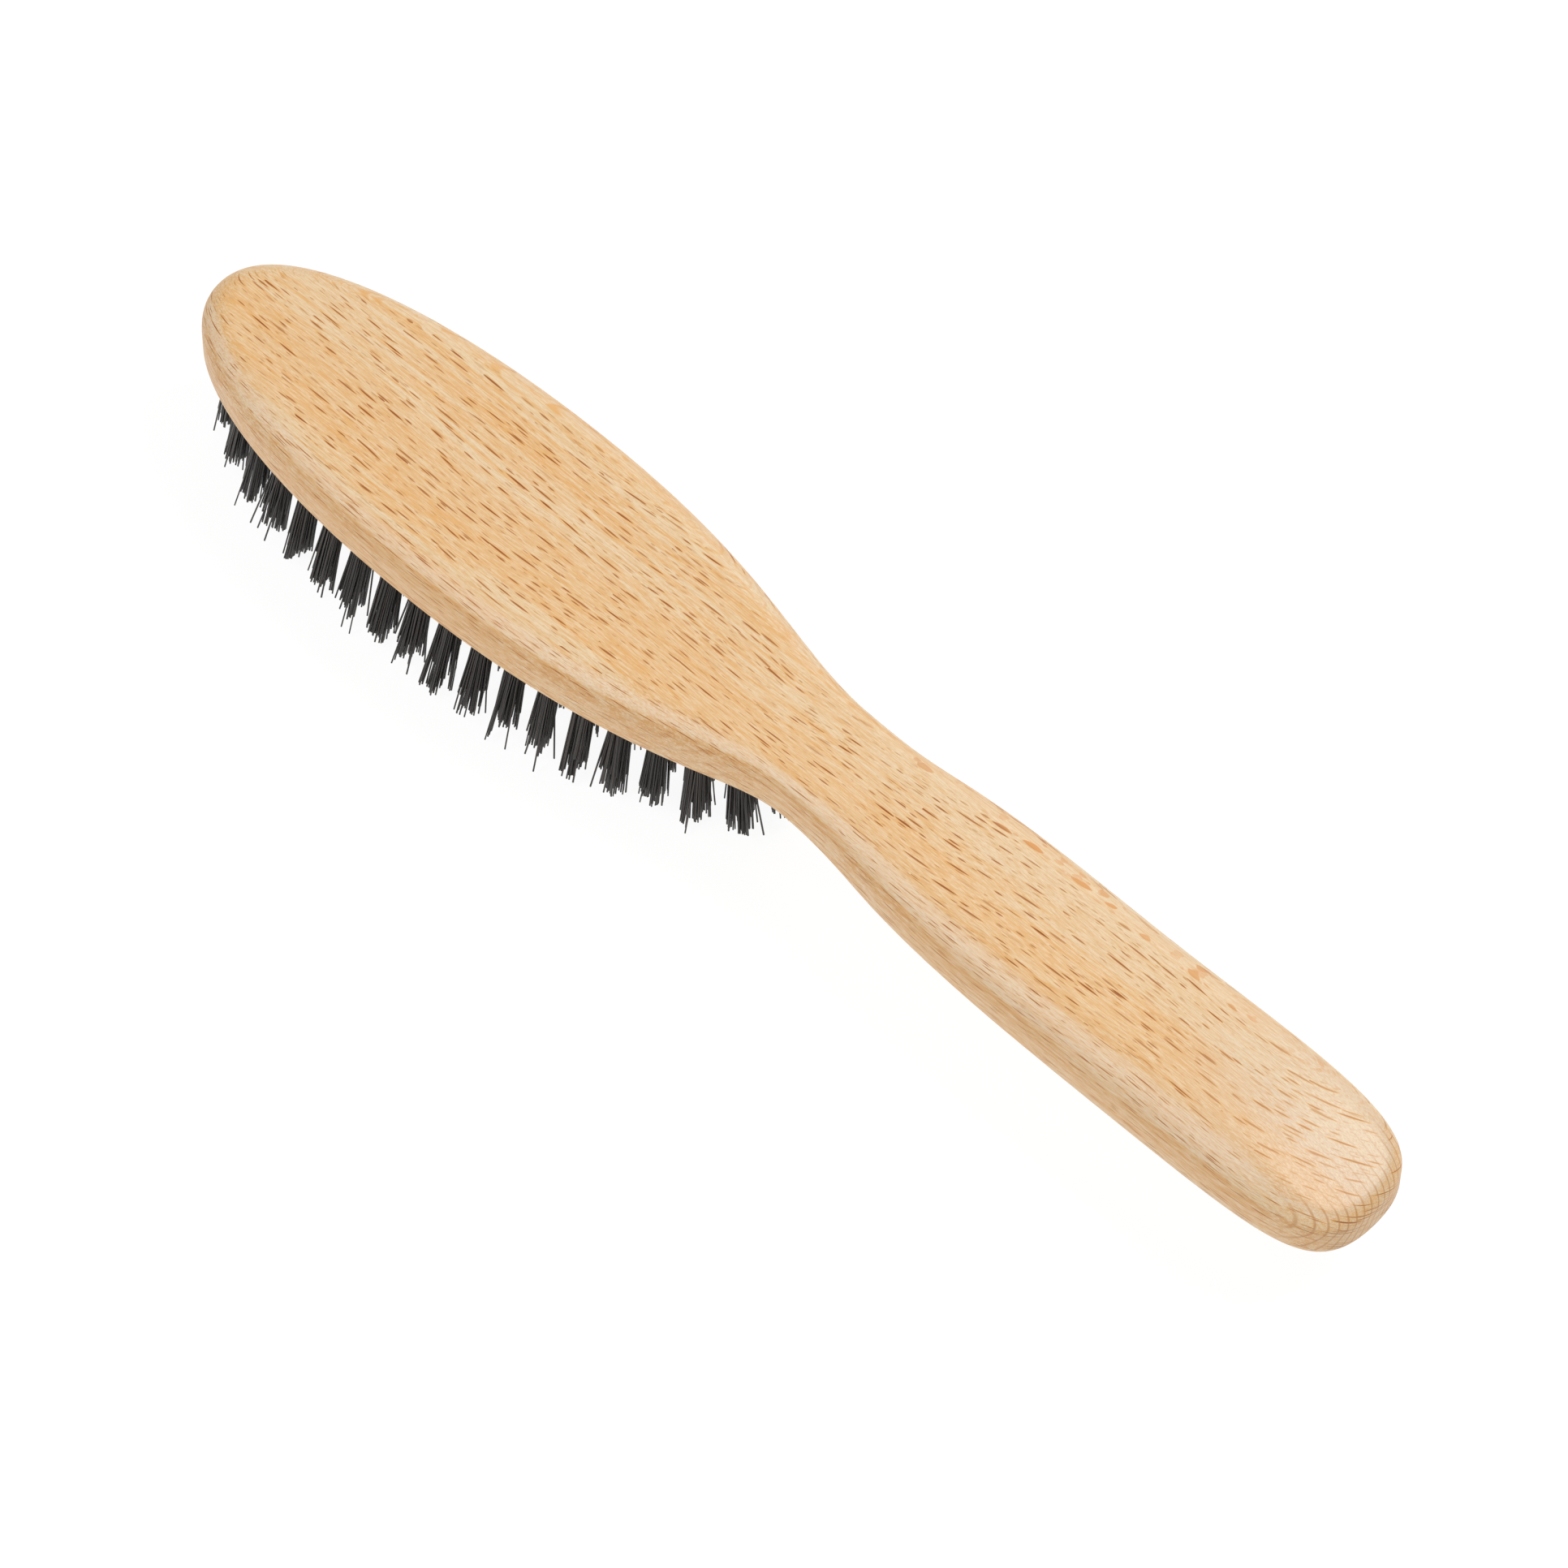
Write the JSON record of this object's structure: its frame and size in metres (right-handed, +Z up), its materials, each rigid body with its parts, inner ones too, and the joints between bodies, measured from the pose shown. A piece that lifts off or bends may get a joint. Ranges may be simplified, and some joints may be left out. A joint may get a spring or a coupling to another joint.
{
  "type": "clothes brush",
  "caption": "Wooden clothes brush with a long oval head, a waist and a rounded grip; staggered bristle tufts in drilled holes lift lint and dust from cloth.",
  "frame": {"origin": "centre of the brush's length and width, in the plane of the trimmed bristle tips that it stands on", "axes": "+X along the brush from the head's tip to the end of the grip, +Y to the right of a user who points the head away, +Z up from the bristle tips to the flat back"},
  "size_m": [0.24, 0.0454, 0.0285],
  "materials": {
    "beech": "sanded and oiled, satin",
    "bristle": "dark brown-black bristle, dull sheen along each fibre",
    "anchor_wire": "drawn flat wire"
  },
  "bodies": {
    "root": {"brush_body": "beech", "tuft_tip_centre": "bristle", "tuft_tip_right": "bristle", "tuft_tip_left": "bristle", "tuft_right_01": "bristle", "tuft_right_02": "bristle", "tuft_right_03": "bristle", "tuft_right_04": "bristle", "tuft_right_05": "bristle", "tuft_right_06": "bristle", "tuft_right_07": "bristle", "tuft_right_08": "bristle", "tuft_right_09": "bristle", "tuft_right_10": "bristle", "tuft_right_11": "bristle", "tuft_right_12": "bristle", "tuft_right_13": "bristle", "tuft_right_14": "bristle", "tuft_right_15": "bristle", "tuft_right_16": "bristle", "tuft_right_17": "bristle", "tuft_left_01": "bristle", "tuft_left_02": "bristle", "tuft_left_03": "bristle", "tuft_left_04": "bristle", "tuft_left_05": "bristle", "tuft_left_06": "bristle", "tuft_left_07": "bristle", "tuft_left_08": "bristle", "tuft_left_09": "bristle", "tuft_left_10": "bristle", "tuft_left_11": "bristle", "tuft_left_12": "bristle", "tuft_left_13": "bristle", "tuft_left_14": "bristle", "tuft_left_15": "bristle", "tuft_left_16": "bristle", "tuft_left_17": "bristle", "tuft_centre_01": "bristle", "tuft_centre_02": "bristle", "tuft_centre_03": "bristle", "tuft_centre_04": "bristle", "tuft_centre_05": "bristle", "tuft_centre_06": "bristle", "tuft_centre_07": "bristle", "tuft_centre_08": "bristle", "tuft_centre_09": "bristle", "tuft_centre_10": "bristle", "tuft_centre_11": "bristle", "tuft_centre_12": "bristle", "tuft_centre_13": "bristle", "tuft_centre_14": "bristle", "tuft_centre_15": "bristle", "tuft_centre_16": "bristle", "tuft_centre_17": "bristle", "inner_row_right": "bristle", "inner_row_left": "bristle"}
  },
  "joints": []
}
